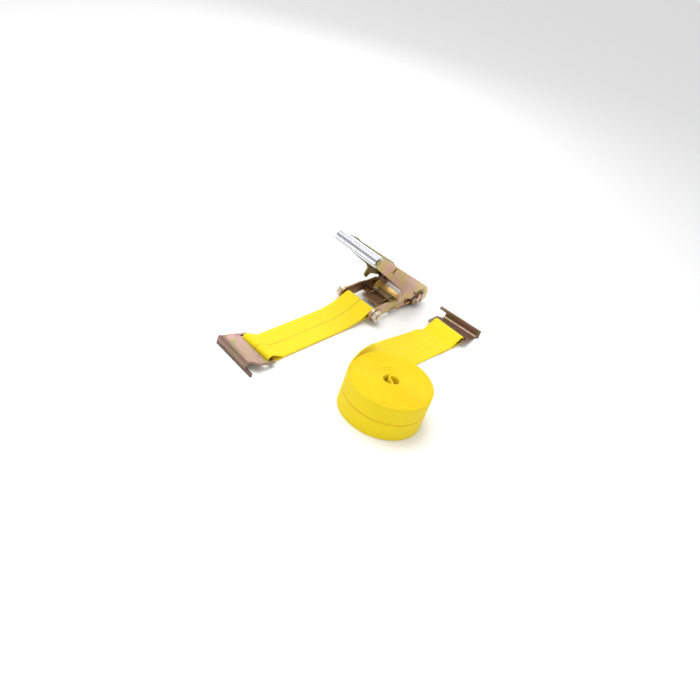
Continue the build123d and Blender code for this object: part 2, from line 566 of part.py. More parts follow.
# ---------------------------------------------------------------- the whole part
def build():
    """Every node's shape, by name, before the move to the part's origin."""
    nodes = {}
    plate = frame_plate()
    nodes["frame_plate_far"] = on_frame(plate)
    nodes["frame_plate_near"] = on_frame(mirrored(plate))
    nodes["frame_cross_plate"] = on_frame(frame_cross_plate())
    nodes["cross_plate_rivets"] = on_frame(Compound(cross_plate_rivets()))
    nodes["strap_bolt"] = on_frame(strap_bolt())
    nodes["strap_bolt_nut"] = on_frame(strap_nut())
    nodes["bolt_sleeve"] = on_frame(ring(SLEEVE_R, BOLT_R, -FRAME_IN, FRAME_IN, FRAME_LENGTH))
    washers = [ring(BOLT_WASHER_R, BOLT_R, *sorted((side * FRAME_OUT, side * (FRAME_OUT + BOLT_WASHER_THICK))),
                     FRAME_LENGTH)
               for side in (-1, 1)]
    nodes["bolt_washers"] = on_frame(Compound(washers))

    nodes["spool_half_front"] = spool_half(1)
    nodes["spool_half_rear"] = spool_half(-1)
    wheel = gear()
    nodes["gear_far"] = Pos(*HUB) * wheel
    nodes["gear_near"] = Pos(*HUB) * mirrored(wheel)
    nodes["cotter_pin_far"] = cotter_pin(COTTER_Y)
    nodes["cotter_pin_near"] = cotter_pin(-COTTER_Y)
    hub_washers = [ring(24, SPOOL_R, *sorted((side * (CHEEK_OUT + 0.2), side * WASHER_OUT))) for side in (-1, 1)]
    nodes["hub_washers"] = Pos(*HUB) * Compound(hub_washers)

    cheek = handle_cheek()
    nodes["handle_cheek_far"] = on_handle(cheek)
    nodes["handle_cheek_near"] = on_handle(mirrored(cheek))
    nodes["handle_grip"] = on_handle(handle_grip())
    nodes["grip_rod"] = on_handle(headed_rod(GRIP_ROD_R, 9.5, HANDLE_LENGTH, 0, GRIP_END))
    nodes["handle_spacer_rod"] = on_handle(headed_rod(SPACER_R, 9, SPACER_U, SPACER_V, CHEEK_OUT))
    nodes["handle_spring_seat"] = on_handle(handle_spring_seat())

    nodes["drive_pawl"] = on_handle(drive_pawl())
    nodes["drive_pawl_guide_rods"] = on_handle(Compound(guide_rods(DRIVE_FLANGE_U, 152, DRIVE_GUIDE_V)))
    nodes["drive_pawl_springs"] = on_handle(Compound(springs(DRIVE_FLANGE_U, DRIVE_SEAT_U, DRIVE_GUIDE_V)))
    nodes["lock_pawl"] = on_frame(lock_pawl())
    nodes["lock_pawl_guide_rods"] = on_frame(Compound(guide_rods(LOCK_FLANGE_E, 116, LOCK_GUIDE_V)))
    nodes["lock_pawl_springs"] = on_frame(Compound(springs(LOCK_FLANGE_E, LOCK_SEAT_E, LOCK_GUIDE_V)))

    nodes["short_strap"] = short_strap()
    nodes["flat_hook_left"] = placed_hook(LEFT_BAR, 180 - HOOK_YAW, LEFT_TILT, True)
    nodes["long_strap_roll"] = long_strap_roll()
    nodes["long_strap_tail"] = long_strap_tail()
    nodes["long_strap_sewn_end"] = long_strap_sewn_end()
    nodes["flat_hook_right"] = placed_hook(RIGHT_BAR, HOOK_YAW, RIGHT_TILT, False)
    return nodes


def origin_shift(nodes):
    """The move that puts the middle of the footprint at the origin."""
    box = Compound(list(nodes.values())).bounding_box()
    return Vector(-(box.min.X + box.max.X) / 2, -(box.min.Y + box.max.Y) / 2, -box.min.Z)


NODES = build()
SHIFT = origin_shift(NODES)

os.makedirs("parts", exist_ok=True)
for name, shape in NODES.items():
    export_step(Pos(*SHIFT) * shape, f"parts/{name}.step")
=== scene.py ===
"""Looks of the ratchet tie down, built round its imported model. Metres, in the model's own frame."""
from math import acos, atan2, cos, exp, pi, radians, sin, sqrt, tan

import bpy
import numpy as np
from mathutils import Matrix, Vector


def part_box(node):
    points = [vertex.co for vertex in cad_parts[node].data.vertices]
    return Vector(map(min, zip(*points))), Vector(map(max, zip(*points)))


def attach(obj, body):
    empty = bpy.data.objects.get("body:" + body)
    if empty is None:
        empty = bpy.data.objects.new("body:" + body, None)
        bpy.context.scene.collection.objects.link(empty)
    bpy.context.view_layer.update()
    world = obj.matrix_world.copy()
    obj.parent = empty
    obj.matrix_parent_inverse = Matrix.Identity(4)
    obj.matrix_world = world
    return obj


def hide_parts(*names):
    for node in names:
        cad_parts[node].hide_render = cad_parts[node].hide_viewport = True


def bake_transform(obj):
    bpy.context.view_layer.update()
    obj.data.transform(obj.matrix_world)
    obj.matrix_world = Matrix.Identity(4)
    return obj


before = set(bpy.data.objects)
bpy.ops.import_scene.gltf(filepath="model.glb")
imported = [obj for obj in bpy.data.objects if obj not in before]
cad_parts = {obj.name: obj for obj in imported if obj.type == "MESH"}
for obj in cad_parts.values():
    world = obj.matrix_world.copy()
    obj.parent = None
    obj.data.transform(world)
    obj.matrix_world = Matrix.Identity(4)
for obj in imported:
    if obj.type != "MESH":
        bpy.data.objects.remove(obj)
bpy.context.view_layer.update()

MM = 0.001
WEB_HALF = 0.0508
WEB_HALF_MM = 50.8


# ---------------------------------------------------------------- where things are
def middle(node):
    """Middle of a node's box."""
    low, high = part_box(node)
    return (Vector(low) + Vector(high)) / 2


ROLL = middle("long_strap_roll")
SHIFT = Vector((ROLL.x, ROLL.y, 0))
HUB = middle("gear_near")
HUB.y = middle("handle_grip").y
BOLT = middle("bolt_sleeve")
STRAP_Y = BOLT.y
HANDLE_ANGLE = radians(145.2)
FRAME_ANGLE = atan2(BOLT.z - HUB.z, BOLT.x - HUB.x)


def place(x, y, z):
    """A point measured in millimetres from the roll's centre on the floor."""
    return SHIFT + Vector((x, y, z)) * MM


# ---------------------------------------------------------------- camera
SENSOR_WIDTH, LENS = 36, 46.29
CAMERA_SPOT = (-1611.5, -785.7, 1404.3)

camera_data = bpy.data.cameras.new("camera")
camera_data.sensor_width = SENSOR_WIDTH
camera_data.lens = LENS
camera_data.clip_start = 0.05
camera = bpy.data.objects.new("camera", camera_data)
bpy.context.scene.collection.objects.link(camera)
camera_right = Vector((0.6401, -0.7147, 0.2818)).normalized()
camera_back = camera_right.cross(Vector((0.2975, 0.5687, 0.7669)).normalized()).normalized()
camera_up = camera_back.cross(camera_right)
camera_turn = Matrix((camera_right, camera_up, camera_back)).transposed().to_4x4()
camera.matrix_world = Matrix.Translation(place(*CAMERA_SPOT)) @ camera_turn
bpy.context.scene.camera = camera
bpy.context.scene.view_settings.view_transform = "Standard"


# ---------------------------------------------------------------- material helpers
class Nodes:
    """Short names for building one material's node tree."""

    def __init__(self, name):
        self.material = bpy.data.materials.new(name)
        self.material.use_nodes = True
        self.tree = self.material.node_tree
        self.tree.nodes.clear()
        out = self.tree.nodes.new("ShaderNodeOutputMaterial")
        self.shader = self.tree.nodes.new("ShaderNodeBsdfPrincipled")
        self.tree.links.new(self.shader.outputs[0], out.inputs[0])

    def link(self, source, target):
        """Joins an output to an input, or sets the input's constant."""
        if isinstance(source, (int, float)):
            target.default_value = source
        elif isinstance(source, tuple):
            opaque = len(source) == 3 and target.type == "RGBA"
            target.default_value = (*source, 1.0) if opaque else source
        else:
            self.tree.links.new(source, target)

    def math(self, operation, a, b=0.0, c=None):
        """A math node's output."""
        node = self.tree.nodes.new("ShaderNodeMath")
        node.operation = operation
        self.link(a, node.inputs[0])
        self.link(b, node.inputs[1])
        if c is not None:
            self.link(c, node.inputs[2])
        return node.outputs[0]

    def mix(self, share, a, b):
        """A mix of two colours."""
        node = self.tree.nodes.new("ShaderNodeMix")
        node.data_type = "RGBA"
        self.link(share, node.inputs["Factor"])
        self.link(a, [s for s in node.inputs if s.name == "A" and s.type == "RGBA"][0])
        self.link(b, [s for s in node.inputs if s.name == "B" and s.type == "RGBA"][0])
        return [s for s in node.outputs if s.type == "RGBA"][0]

    def ramp(self, value, low, high, out_low=0.0, out_high=1.0):
        """A value stretched from one range to another and held inside it."""
        node = self.tree.nodes.new("ShaderNodeMapRange")
        node.interpolation_type = "SMOOTHSTEP"
        self.link(value, node.inputs["Value"])
        ends = {"From Min": low, "From Max": high, "To Min": out_low, "To Max": out_high}
        for socket, number in ends.items():
            node.inputs[socket].default_value = number
        return node.outputs[0]

    def noise(self, scale, detail, rough, vector=None, stretch=None):
        """A noise texture's value, in object coordinates unless others are given."""
        if vector is None:
            vector = self.tree.nodes.new("ShaderNodeTexCoord").outputs["Object"]
        if stretch is not None:
            mapping = self.tree.nodes.new("ShaderNodeMapping")
            mapping.inputs["Scale"].default_value = stretch
            self.link(vector, mapping.inputs["Vector"])
            vector = mapping.outputs[0]
        node = self.tree.nodes.new("ShaderNodeTexNoise")
        node.inputs["Scale"].default_value = scale
        node.inputs["Detail"].default_value = detail
        node.inputs["Roughness"].default_value = rough
        self.link(vector, node.inputs["Vector"])
        return node.outputs["Fac"]

    def bump(self, height, distance, strength):
        """Bumps the surface."""
        node = self.tree.nodes.new("ShaderNodeBump")
        node.inputs["Distance"].default_value = distance
        node.inputs["Strength"].default_value = strength
        self.link(height, node.inputs["Height"])
        self.link(node.outputs[0], self.shader.inputs["Normal"])

    def shade(self, **sockets):
        """Sets the shader's sockets by name, with spaces as underscores."""
        for name, value in sockets.items():
            self.link(value, self.shader.inputs[name.replace("_", " ")])


SCRATCH_SCALE, PIT_SCALE, DULL_SCALE = 700.0, 2600.0, 70.0
# how far the painted shade in hollows and corners reaches
HOLLOW_REACH = 0.02
METAL_BUMP = 0.00010
# colour painted into the valleys between the grip's ribs: painted shade
PAINTED_FLUTE_SHADE = (0.20, 0.22, 0.30)


def plated(name, main, second, third, rough, metallic=0.9, cloud=24.0, hollows=0.30, flutes=None):
    """Zinc-plated steel: clouds of different tint, pitting, dull patches, scratches, and painted shade
    that darkens the hollows.

    flutes is the centre and the number of ribs round it, for a ribbed tube; the valleys between its ribs
    get a painted dark blue-grey shade.
    """
    m = Nodes(name)
    clouds = m.noise(cloud, 2.5, 0.5)
    patches = m.noise(cloud * 1.7, 2.0, 0.45, stretch=(1.0, 1.4, 0.9))
    scratches = m.noise(SCRATCH_SCALE, 2.0, 0.6, stretch=(0.08, 1.0, 1.0))
    pits = m.noise(PIT_SCALE, 2.0, 0.5)
    tint = m.mix(m.ramp(clouds, 0.44, 0.60), main, second)
    tint = m.mix(m.ramp(patches, 0.52, 0.72), tint, third)
    dull = m.ramp(m.noise(DULL_SCALE, 5.0, 0.65), 0.45, 0.75)
    tint = m.mix(m.math("MULTIPLY", dull, 0.22), tint, tuple(0.45 * c for c in main))
    height = m.math("ADD", m.math("MULTIPLY", scratches, 0.4), m.math("MULTIPLY", pits, 0.6))
    if flutes is not None:
        wave = flute_wave(m, *flutes)
        # painted shade in the valleys between the ribs
        tint = m.mix(m.ramp(wave, -0.8, 0.3, 0.7, 0.0), tint, PAINTED_FLUTE_SHADE)
        height = m.math("MULTIPLY_ADD", wave, 3.0, m.math("MULTIPLY", height, 0.15))
    # painted shade: ambient occlusion mixes a dark copy of the tint, hollows times as bright, into
    # hollows, corners and gaps between parts; the same mask roughens them
    occlusion = m.tree.nodes.new("ShaderNodeAmbientOcclusion")
    occlusion.samples = 6
    occlusion.inputs["Distance"].default_value = HOLLOW_REACH
    painted_shade_mask = m.ramp(occlusion.outputs["AO"], 0.30, 0.98, 0.0, 1.0)
    painted_hollow_shade = tuple(hollows * c * (1.0 - 0.25 * k) for k, c in enumerate(main))
    shaded = m.mix(painted_shade_mask, painted_hollow_shade, tint)
    scratched = m.math("MULTIPLY_ADD", scratches, 0.12, rough - 0.06)
    roughness = m.math("ADD", m.math("MULTIPLY", dull, 0.15), scratched)
    roughness = m.math("MULTIPLY_ADD", m.math("SUBTRACT", 1.0, painted_shade_mask), 0.35, roughness)
    m.shade(Base_Color=shaded, Metallic=metallic, Roughness=roughness)
    m.bump(height, METAL_BUMP, 0.35)
    return m.material


def flute_wave(m, centre, count):
    """Wave round the Y axis through a centre, for ribs that run along a tube."""
    coordinates = m.tree.nodes.new("ShaderNodeTexCoord").outputs["Object"]
    parts = m.tree.nodes.new("ShaderNodeSeparateXYZ")
    m.link(coordinates, parts.inputs[0])
    over = m.math("SUBTRACT", parts.outputs[2], centre.z)
    beside = m.math("SUBTRACT", parts.outputs[0], centre.x)
    angle = m.math("ARCTAN2", over, beside)
    return m.math("SINE", m.math("MULTIPLY", angle, float(count)))


GOLD = plated("yellow_zinc",
              (0.60, 0.44, 0.20), (0.64, 0.40, 0.33), (0.56, 0.46, 0.14), 0.36)
# a lighter, more saturated copy of the yellow zinc, painted light for the lock pawl, whose flange faces
# the lamps
GOLD_PAINTED_LIT = plated("yellow_zinc_painted_light",
                     (0.90, 0.60, 0.16), (0.80, 0.50, 0.20), (0.70, 0.50, 0.12), 0.32)
HOOK = plated("hook_zinc",
              (0.33, 0.22, 0.16), (0.37, 0.22, 0.20), (0.24, 0.23, 0.08), 0.34, 0.92, 20.0, 0.12)
# olive tint of the plating, drawn dark as painted shade for the far cheek and the drive pawl, which sit
# in shade; also used on the grip rod and hub washers
SHADED_OLIVE = plated("olive_zinc_painted_shade",
               (0.34, 0.31, 0.13), (0.40, 0.33, 0.16), (0.28, 0.28, 0.10), 0.34)
RUSSET = plated("russet_zinc",
                (0.34, 0.20, 0.12), (0.42, 0.26, 0.15), (0.24, 0.16, 0.08), 0.38)
PINK = plated("pink_zinc",
              (0.66, 0.42, 0.38), (0.60, 0.45, 0.28), (0.52, 0.42, 0.22), 0.32)
CREAM = plated("cream_zinc",
               (0.86, 0.76, 0.58), (0.70, 0.66, 0.50), (0.60, 0.52, 0.36), 0.24, 0.92, 60.0)
GRIP_FLUTES = 9
SILVER = plated("bright_zinc",
                (0.86, 0.87, 0.90), (0.80, 0.82, 0.88), (0.82, 0.80, 0.76), 0.16, 0.95, 16.0, 0.45,
                (middle("handle_grip"), GRIP_FLUTES))
SPRING_WIRE = plated("spring_wire",
                     (0.46, 0.44, 0.22), (0.40, 0.40, 0.28), (0.34, 0.36, 0.18), 0.30, 0.9, 120.0)


YARN, PICK = 0.0023, 0.0034
SEAM_STEP, SEAM_SHIFT, STITCH = 0.0148, 0.0064, 0.0066
WEBBING_BUMP = 0.0006


def webbing_material(name, line_colour, line_share):
    """Woven webbing with a line on one face, on a map in metres: along the length, across the width."""
    m = Nodes(name)
    uv = m.tree.nodes.new("ShaderNodeUVMap")
    uv.uv_map = "web"
    parts = m.tree.nodes.new("ShaderNodeSeparateXYZ")
    m.link(uv.outputs[0], parts.inputs[0])
    along, over = parts.outputs[0], parts.outputs[1]

    column = m.math("FLOOR", m.math("DIVIDE", over, YARN))
    shift = m.math("MULTIPLY", m.math("MODULO", column, 4.0), 0.25)
    picks = m.math("ADD", m.math("DIVIDE", along, PICK), shift)
    lift = m.math("SINE", m.math("MULTIPLY", picks, 2 * pi))
    ridge = m.math("ABSOLUTE", m.math("SINE", m.math("MULTIPLY", over, pi / YARN)))
    weave = m.math("MULTIPLY", m.math("POWER", ridge, 0.6), m.math("MULTIPLY_ADD", lift, 0.28, 0.72))

    sewn = m.tree.nodes.new("ShaderNodeAttribute")
    sewn.attribute_name = "sewn"
    row = m.math("MODULO", m.math("ADD", over, SEAM_SHIFT), SEAM_STEP)
    seam = m.math("ABSOLUTE", m.math("SUBTRACT", row, SEAM_STEP / 2))
    dash = m.ramp(m.math("MODULO", along, STITCH), 0.0046, 0.0056, 1.0, 0.0)
    stitches = m.math("MULTIPLY", m.ramp(seam, 0.0005, 0.0009, 1.0, 0.0), dash)
    thread = m.math("MULTIPLY", stitches, sewn.outputs["Fac"])
    groove = m.math("MULTIPLY", m.ramp(seam, 0.0006, 0.0022, 1.0, 0.0), sewn.outputs["Fac"])

    face = m.tree.nodes.new("ShaderNodeAttribute")
    face.attribute_name = "marked_face"
    off_middle = m.math("ABSOLUTE", m.math("SUBTRACT", over, WEB_HALF))
    line = m.ramp(off_middle, 0.0008, 0.0013, 1.0, 0.0)
    broken = m.ramp(lift, -0.6, 0.1, 0.45, 1.0)
    line = m.math("MULTIPLY", m.math("MULTIPLY", line, broken), face.outputs["Fac"])
    soil = m.noise(14.0, 4.0, 0.6)
    streak = m.noise(60.0, 3.0, 0.5, uv.outputs[0], (0.35, 8.0, 1.0))
    fuzz = m.noise(4200.0, 2.0, 0.6)

    # painted shade: the webbing is darker where the yarns dip and lighter on their crowns
    yellow = m.mix(m.ramp(weave, 0.25, 0.85), (0.76, 0.54, 0.003), (0.98, 0.80, 0.010))
    yellow = m.mix(m.math("MULTIPLY", m.ramp(streak, 0.40, 0.68), 0.35), yellow, (0.92, 0.70, 0.008))
    yellow = m.mix(m.math("MULTIPLY", m.ramp(soil, 0.50, 0.75), 0.20), yellow, (0.86, 0.64, 0.012))
    # painted shade in the grooves along the sewn rows
    yellow = m.mix(m.math("MULTIPLY", groove, 0.45), yellow, (0.72, 0.42, 0.004))
    yellow = m.mix(thread, yellow, (0.98, 0.84, 0.10))
    yellow = m.mix(m.math("MULTIPLY", line, line_share), yellow, line_colour)
    m.shade(Base_Color=yellow, Roughness=m.math("MULTIPLY_ADD", fuzz, 0.20, 0.60),
            Specular_IOR_Level=0.25, Sheen_Weight=0.10, Sheen_Roughness=0.5,
            Sheen_Tint=(1.0, 0.92, 0.45))
    height = m.math("ADD", m.math("MULTIPLY", weave, 0.75), m.math("MULTIPLY", fuzz, 0.25))
    height = m.math("ADD", height, m.math("MULTIPLY_ADD", thread, 0.9, m.math("MULTIPLY", groove, -0.9)))
    m.bump(height, WEBBING_BUMP, 0.8)
    return m.material


LONG_WEBBING = webbing_material("yellow_webbing_long", (0.62, 0.12, 0.010), 0.9)
SHORT_WEBBING = webbing_material("yellow_webbing_short", (0.30, 0.17, 0.020), 0.8)


# ---------------------------------------------------------------- mesh helpers
def mesh_object(name, vertices, faces, material):
    """A smooth mesh object in the scene."""
    mesh = bpy.data.meshes.new(name)
    mesh.from_pydata([tuple(v) for v in vertices], [], faces)
    mesh.materials.append(material)
    mesh.polygons.foreach_set("use_smooth", [True] * len(mesh.polygons))
    mesh.update()
    obj = bpy.data.objects.new(name, mesh)
    bpy.context.scene.collection.objects.link(obj)
    return obj


COLUMNS = 12
FLAT_INSET, SELVEDGE_INSET, SELVEDGE_SHARE = 0.0014, 0.0004, 0.62


def web_section():
    """Outline of one ply: across in metres and out of the ply as a share of its thickness.

    Both faces are flat, with soft selvedges.
    """
    half = 0.5
    inner = WEB_HALF - FLAT_INSET
    row = [-inner + 2 * inner * k / COLUMNS for k in range(COLUMNS + 1)]
    shoulder, drop = WEB_HALF - SELVEDGE_INSET, SELVEDGE_SHARE * half
    edge = [(shoulder, drop), (WEB_HALF, 0.0), (shoulder, -drop)]
    return ([(w, half) for w in row] + edge + [(w, -half) for w in reversed(row)]
            + [(-w, -h) for w, h in edge])


def run_lengths(points, start=0.0):
    """Length along a line of points, at each of them."""
    lengths = [start]
    for a, b in zip(points, points[1:]):
        lengths.append(lengths[-1] + (b - a).length)
    return lengths


def ribbon(name, material, centres, widths, thick, marked, sewn, start=0.0):
    """One ply of webbing along a line of centres, with its width direction and thickness at each.

    marked is the face with the line, 1 or -1; sewn lists the lengths between which rows are sewn;
    start is where the woven pattern begins. Returns the object and its length.
    """
    centres = [Vector(c) for c in centres]
    widths = [Vector(w).normalized() for w in widths]
    section = web_section()
    count, size = len(centres), len(section)
    lengths = run_lengths(centres, start)
    vertices = []
    for k, (c, w) in enumerate(zip(centres, widths)):
        tangent = (centres[min(k + 1, count - 1)] - centres[max(k - 1, 0)]).normalized()
        out = tangent.cross(w).normalized()
        for across, off in section:
            vertices.append(c + w * across + out * off * thick[k])
    faces = []
    for k in range(count - 1):
        for j in range(size):
            n = (j + 1) % size
            faces.append((k * size + j, k * size + n, (k + 1) * size + n, (k + 1) * size + j))
    faces.append(tuple(reversed(range(size))))
    faces.append(tuple((count - 1) * size + j for j in range(size)))
    obj = mesh_object(name, vertices, faces, material)
    uv = obj.data.uv_layers.new(name="web")
    spots = np.zeros((len(obj.data.loops), 2))
    for loop in obj.data.loops:
        k, j = divmod(loop.vertex_index, size)
        spots[loop.index] = (lengths[k], section[j][0] + WEB_HALF)
    uv.data.foreach_set("uv", spots.ravel())
    mark = obj.data.attributes.new("sewn", "FLOAT", "POINT")
    values = np.zeros(count * size)
    for k in range(count):
        if any(a <= lengths[k] - start <= b for a, b in sewn):
            values[k * size:(k + 1) * size] = 1.0
    mark.data.foreach_set("value", values)
    face = obj.data.attributes.new("marked_face", "FLOAT", "POINT")
    face.data.foreach_set("value", [1.0 if off * marked > 0 else 0.0 for _, off in section] * count)
    return obj, lengths[-1] - start


def evenly(points, step):
    """Points along a broken line at an even step."""
    points = [Vector(p) for p in points]
    out, left = [points[0]], step
    for a, b in zip(points, points[1:]):
        length = (b - a).length
        if length < 1e-9:
            continue
        at = left
        while at <= length:
            out.append(a + (b - a) * (at / length))
            at += step
        left = at - length
    if (out[-1] - points[-1]).length > step * 0.3:
        out.append(points[-1])
    else:
        out[-1] = points[-1]
    return out


TUBE_SIDES = 8


def tube(name, path, radius, material):
    """A round wire along a line of points."""
    sides = TUBE_SIDES
    path = [Vector(p) for p in path]
    vertices, faces = [], []
    side = None
    for k, p in enumerate(path):
        tangent = (path[min(k + 1, len(path) - 1)] - path[max(k - 1, 0)]).normalized()
        if side is None:
            side = tangent.orthogonal().normalized()
        side = (side - tangent * side.dot(tangent)).normalized()
        other = tangent.cross(side)
        for j in range(sides):
            a = 2 * pi * j / sides
            vertices.append(p + side * cos(a) * radius + other * sin(a) * radius)
    for k in range(len(path) - 1):
        for j in range(sides):
            n = (j + 1) % sides
            faces.append((k * sides + j, k * sides + n, (k + 1) * sides + n, (k + 1) * sides + j))
    faces.append(tuple(reversed(range(sides))))
    faces.append(tuple((len(path) - 1) * sides + j for j in range(sides)))
    return mesh_object(name, vertices, faces, material)


def eased(share):
    """Smooth step from 0 to 1."""
    share = min(max(share, 0.0), 1.0)
    return share * share * (3 - 2 * share)


# ---------------------------------------------------------------- shared path pieces
# millimetres from the roll's centre on the floor, here and in the straps below
THICK = 3.2
FLOOR_GAP = 0.1
PATH_STEP = 2.5
LOOP_STEPS = 28


def tangent_headings(centre, radius, apex):
    """Directions from a circle's centre to where the two tangents from a point touch it."""
    dx, dz = apex[0] - centre[0], apex[1] - centre[1]
    heading, spread = atan2(dz, dx), acos(radius / sqrt(dx * dx + dz * dz))
    return [heading + spread, heading - spread]


def loop_path(centre, radius, root_low, root_high):
    """Middle line (X, Z) of a ply that goes from root_low round a circle's far side to root_high."""
    up = [a % (2 * pi) for a in tangent_headings(centre, radius, root_high)]
    down = [a % (2 * pi) for a in tangent_headings(centre, radius, root_low)]
    away = atan2(centre[1] - (root_low[1] + root_high[1]) / 2,
                 centre[0] - (root_low[0] + root_high[0]) / 2)

    def off(angle):
        """Signed turn from the far side."""
        return (angle - away + pi) % (2 * pi) - pi

    starts, ends = [off(a) for a in down], [off(a) for a in up]
    low_side = min(starts, key=lambda a: (centre[1] + radius * sin(away + a)))
    high_side = max(ends, key=lambda a: (centre[1] + radius * sin(away + a)))
    points = [root_low]
    for k in range(LOOP_STEPS + 1):
        a = away + low_side + (high_side - low_side) * k / LOOP_STEPS
        points.append((centre[0] + radius * cos(a), centre[1] + radius * sin(a)))
    return points + [root_high]


# ---------------------------------------------------------------- the long strap
# the last turn's middle, from where it leaves the roll: (direction from the roll's centre, distance)
TAIL_TURN = ((205, 109.6), (180, 109.8), (150, 111.2), (130, 110.7), (112, 108.9),
             (100, 109.9))
# then (x, y) as it runs on, and (x, turn from upright) as it falls flat
TAIL_RUN = ((-19.1, 108.3), (16, 114.6), (60, 108.9), (105, 103.9), (160, 109.6), (246, 114.0),
            (400, 110))
TAIL_TWIST = ((-45, 0), (-10, 0.6), (20, 4.8), (45, 13.2), (70, 24.5), (100, 39.1), (140, 54.6),
              (190, 66), (246, 74.9), (300, 80.2), (345, 83), (385, 90))
TAIL_TURN_STEPS, TAIL_RUN_STEPS = 50, 150
SEWN_START, TAIL_Y = 350.0, 110.0
ROWS_START = 120.0
RIGHT_BAR_X = 440.0
BAR_LOOP_R, BAR_LOOP_LENGTH, BAR_LOOP_SHIFT = 12.4, 47.0, 3.5
ROOT_X = RIGHT_BAR_X - BAR_LOOP_LENGTH + BAR_LOOP_SHIFT
BAR_LOOP_Z = 14.1
LAP_RAMP = 32
PRESSED, SHORT_PRESSED = 0.96, 0.97
# the wound part; it is drawn thicker, so that no gap shows between its turns
WOUND_THICK = 4.25
THINNING_POINTS = 60
TURNS = 20.5
STEPS_A_TURN = 90
HOLE_R = 20.0
OVAL_SHARE, OVAL_HEADING = 0.10, 0.7
BEHIND, BEHIND_REACH, BEHIND_SHARE = radians(90), 0.45, 0.06
LIFT, DRIFT = 0.8, 0.16
LIFT_SHARE = 0.85
INNER_STEPS, INNER_DROP = 24, 1.5


def between(points, at):
    """Smooth curve through (place, value) points, read at one place; places may rise or fall."""
    if points[0][0] > points[-1][0]:
        points = tuple(reversed(points))
    if at <= points[0][0]:
        return points[0][1]
    if at >= points[-1][0]:
        return points[-1][1]

    def slope(k):
        """Slope through a point's neighbours."""
        a, b = points[max(k - 1, 0)], points[min(k + 1, len(points) - 1)]
        return (b[1] - a[1]) / (b[0] - a[0])

    k = max(i for i, point in enumerate(points) if point[0] <= at)
    (x0, y0), (x1, y1) = points[k], points[k + 1]
    step, t = x1 - x0, (at - x0) / (x1 - x0)
    rise = (2 * t ** 3 - 3 * t ** 2 + 1) * y0 + (3 * t ** 2 - 2 * t ** 3) * y1
    return rise + step * ((t ** 3 - 2 * t ** 2 + t) * slope(k) + (t ** 3 - t ** 2) * slope(k + 1))


def wound_points():
    """Middle line of the wound part from its inner end outwards, as (x, y, height of the middle)."""
    rng = np.random.default_rng(7)
    count = int(TURNS) + 3
    lift = rng.uniform(-LIFT, LIFT, count)
    drift = rng.uniform(-DRIFT, DRIFT, (count, 2))
    last, outer = radians(TAIL_TURN[0][0]), TAIL_TURN[0][1]
    points = []
    for k in range(int(TURNS * STEPS_A_TURN) + 1):
        share = k / (TURNS * STEPS_A_TURN)
        angle = last + 2 * pi * TURNS * (1 - share)
        radius = HOLE_R + (outer - HOLE_R) * share
        oval = 1 + OVAL_SHARE * (1 - share) ** 3 * cos(2 * (angle + OVAL_HEADING))
        behind = (angle % (2 * pi)) - BEHIND
        oval -= (BEHIND_SHARE * min(1.0, 3 * (1 - share) + 0.35)
                 * exp(-(behind / BEHIND_REACH) ** 2))
        turns_done = share * TURNS
        low, part = int(turns_done), eased(turns_done - int(turns_done))
        raised = lift[low] * (1 - part) + lift[low + 1] * part
        loose = drift[low] * (1 - part) + drift[low + 1] * part
        fade = min(1.0, 8 * (1 - share))
        swell = (loose[0] * cos(angle) + loose[1] * sin(2 * angle)) * fade
        z = WEB_HALF_MM + FLOOR_GAP + LIFT_SHARE * min(1.0, 3 * (1 - share)) * (raised + 1.0)
        reach = radius * oval + swell
        points.append((reach * cos(angle), reach * sin(angle), z))
    return points


def inner_end(first):
    """The inner end, turned back across the space in the middle, up to the wound part's first point."""
    away = Vector((first.x, first.y, 0))
    aside = Vector((-first.y, first.x, 0))
    bends = (away, away * 0.75 + aside * 0.85, aside * 0.55 - away * 0.05,
             -away * 0.15 - aside * 0.15, -away * 0.45 - aside * 0.45, -away * 0.72 - aside * 0.25)
    out = []
    for k in range(INNER_STEPS, 0, -1):
        share = k / INNER_STEPS
        row = list(bends)
        while len(row) > 1:
            row = [a.lerp(b, share) for a, b in zip(row, row[1:])]
        out.append((row[0].x, row[0].y, first.z - INNER_DROP * share))
    return out


def tail_stations():
    """(x, y, twist) of the single ply from the roll to the sewn end."""
    start, end = TAIL_TURN[0][0], TAIL_TURN[-1][0]
    out = []
    for k in range(TAIL_TURN_STEPS + 1):
        angle = start + (end - start) * k / TAIL_TURN_STEPS
        radius = between(TAIL_TURN, angle)
        x = radius * cos(radians(angle))
        out.append((x, radius * sin(radians(angle)), between(TAIL_TWIST, x)))
    first = TAIL_RUN[0][0]
    for k in range(1, TAIL_RUN_STEPS + 1):
        x = first + (ROOT_X - first) * k / TAIL_RUN_STEPS
        out.append((x, between(TAIL_RUN, x), between(TAIL_TWIST, x)))
    return out


